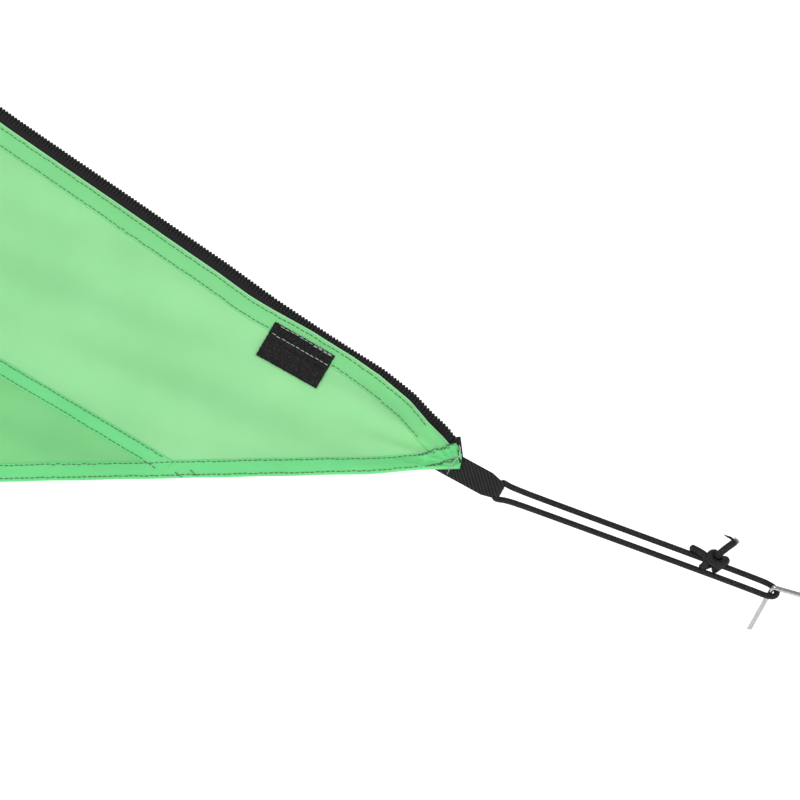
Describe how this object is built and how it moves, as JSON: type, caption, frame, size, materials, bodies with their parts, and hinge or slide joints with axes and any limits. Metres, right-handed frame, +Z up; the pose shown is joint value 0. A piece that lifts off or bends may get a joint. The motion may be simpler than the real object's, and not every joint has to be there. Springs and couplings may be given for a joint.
{
  "type": "tarp shelter",
  "caption": "Single-pole floorless pyramid tarp shelter with a zipped front edge, webbing tie-outs, shock cord loops and wire pegs, pitched with its door rolled back.",
  "frame": {"origin": "centre of the pole foot's bottom face, on the ground", "axes": "+X out of the doorway, +Z up, the zipped near wall faces -Y"},
  "size_m": [3.4392, 1.8934, 1.3233],
  "materials": {
    "cloth": "thin coated plain-weave polyester with a soft sheen",
    "webbing": "coarse woven polypropylene webbing, matte",
    "cord": "braided shock cord sheath, matte",
    "zip_tape": "woven zipper tape, matte",
    "zip_coil": "moulded nylon coil, satin",
    "slider_metal": "black enamelled die casting",
    "hook_loop": "fuzzy hook-and-loop tape",
    "peg_wire": "bright plated wire",
    "pole_tube": "satin anodised tube",
    "pole_plastic": "moulded nylon",
    "pole_rubber": "moulded rubber"
  },
  "bodies": {
    "shelter": {"apex_cup": "pole_plastic", "apex_patch": "cloth", "cord_far_front": "cord", "cord_far_middle": "cord", "cord_far_rear": "cord", "cord_near_front": "cord", "cord_near_middle": "cord", "cord_near_rear": "cord", "door_roll": "cloth", "door_seam_tape": "cloth", "door_tie_bands": "webbing", "door_zip": "zip_tape", "far_front_panel": "cloth", "far_main_panel": "cloth", "far_rear_ridge_tape": "cloth", "knot_far_front": "cord", "knot_far_middle": "cord", "knot_far_rear": "cord", "knot_near_front": "cord", "knot_near_middle": "cord", "knot_near_rear": "cord", "near_front_panel": "cloth", "near_main_panel": "cloth", "near_rear_ridge_tape": "cloth", "patch_far_front": "cloth", "patch_far_rear": "cloth", "patch_near_front": "cloth", "patch_near_rear": "cloth", "pole_clamp": "pole_plastic", "pole_tip": "pole_plastic", "pole_upper_tube": "pole_tube", "rear_wall": "cloth", "tab_base": "hook_loop", "webbing_far_front": "webbing", "webbing_far_middle": "webbing", "webbing_far_rear": "webbing", "webbing_near_front": "webbing", "webbing_near_middle": "webbing", "webbing_near_rear": "webbing", "zip_coil": "zip_coil", "zip_tape": "zip_tape", "zip_top_stop": "slider_metal"},
    "clamp_lever": {"clamp_lever": "pole_plastic"},
    "peg_far_front": {"peg_far_front": "peg_wire"},
    "peg_far_middle": {"peg_far_middle": "peg_wire"},
    "peg_far_rear": {"peg_far_rear": "peg_wire"},
    "peg_near_front": {"peg_near_front": "peg_wire"},
    "peg_near_middle": {"peg_near_middle": "peg_wire"},
    "peg_near_rear": {"peg_near_rear": "peg_wire"},
    "pole_lower": {"pole_foot": "pole_rubber", "pole_lower_tube": "pole_tube"},
    "slider": {"slider_body": "slider_metal"},
    "zip_pull": {"slider_pull": "slider_metal"},
    "tab_flap": {"tab_flap": "hook_loop"},
    "toggle_lower": {"toggle_lower": "pole_plastic"},
    "toggle_upper": {"toggle_upper": "pole_plastic"}
  },
  "joints": [
    {"name": "slider_travel", "type": "slide", "parent": "shelter", "child": "slider", "axis": [0.7127, -0.3842, -0.5869], "range_m": [0, 0.1]},
    {"name": "zip_pull_swing", "type": "hinge", "parent": "slider", "child": "zip_pull", "pos_m": [0.1366, -0.08102, 1.08498], "axis": [-0.7015, -0.3903, -0.5963], "range_deg": [0, 150]},
    {"name": "tab_lift", "type": "hinge", "parent": "shelter", "child": "tab_flap", "pos_m": [1.39981, -0.68109, 0.16292], "axis": [-0.8543, 0.2847, 0.435], "range_deg": [0, 120]},
    {"name": "pole_slide", "type": "slide", "parent": "shelter", "child": "pole_lower", "axis": [0, 0, 1], "range_m": [0, 0.25]},
    {"name": "lever_swing", "type": "hinge", "parent": "shelter", "child": "clamp_lever", "pos_m": [0.0265, 0, 0.565], "axis": [0, 0, -1], "range_deg": [0, 110]},
    {"name": "toggle_lower_turn", "type": "hinge", "parent": "shelter", "child": "toggle_lower", "pos_m": [1.09542, 0.48616, 0.43402], "axis": [0.5914, 0, 0.8064], "range_deg": [-85, 85]},
    {"name": "toggle_upper_turn", "type": "hinge", "parent": "shelter", "child": "toggle_upper", "pos_m": [0.58587, 0.25188, 0.79827], "axis": [0.5914, 0, 0.8064], "range_deg": [-85, 85]},
    {"name": "pull_peg_near_front", "type": "slide", "parent": "shelter", "child": "peg_near_front", "axis": [0.3001, -0.3501, 0.8873], "range_m": [0, 0.14]},
    {"name": "pull_peg_far_front", "type": "slide", "parent": "shelter", "child": "peg_far_front", "axis": [0.3001, 0.3501, 0.8873], "range_m": [0, 0.14]},
    {"name": "pull_peg_near_rear", "type": "slide", "parent": "shelter", "child": "peg_near_rear", "axis": [-0.3001, -0.3501, 0.8873], "range_m": [0, 0.14]},
    {"name": "pull_peg_far_rear", "type": "slide", "parent": "shelter", "child": "peg_far_rear", "axis": [-0.3001, 0.3501, 0.8873], "range_m": [0, 0.14]},
    {"name": "pull_peg_near_middle", "type": "slide", "parent": "shelter", "child": "peg_near_middle", "axis": [0, -0.42, 0.9075], "range_m": [0, 0.14]},
    {"name": "pull_peg_far_middle", "type": "slide", "parent": "shelter", "child": "peg_far_middle", "axis": [0, 0.42, 0.9075], "range_m": [0, 0.14]}
  ]
}
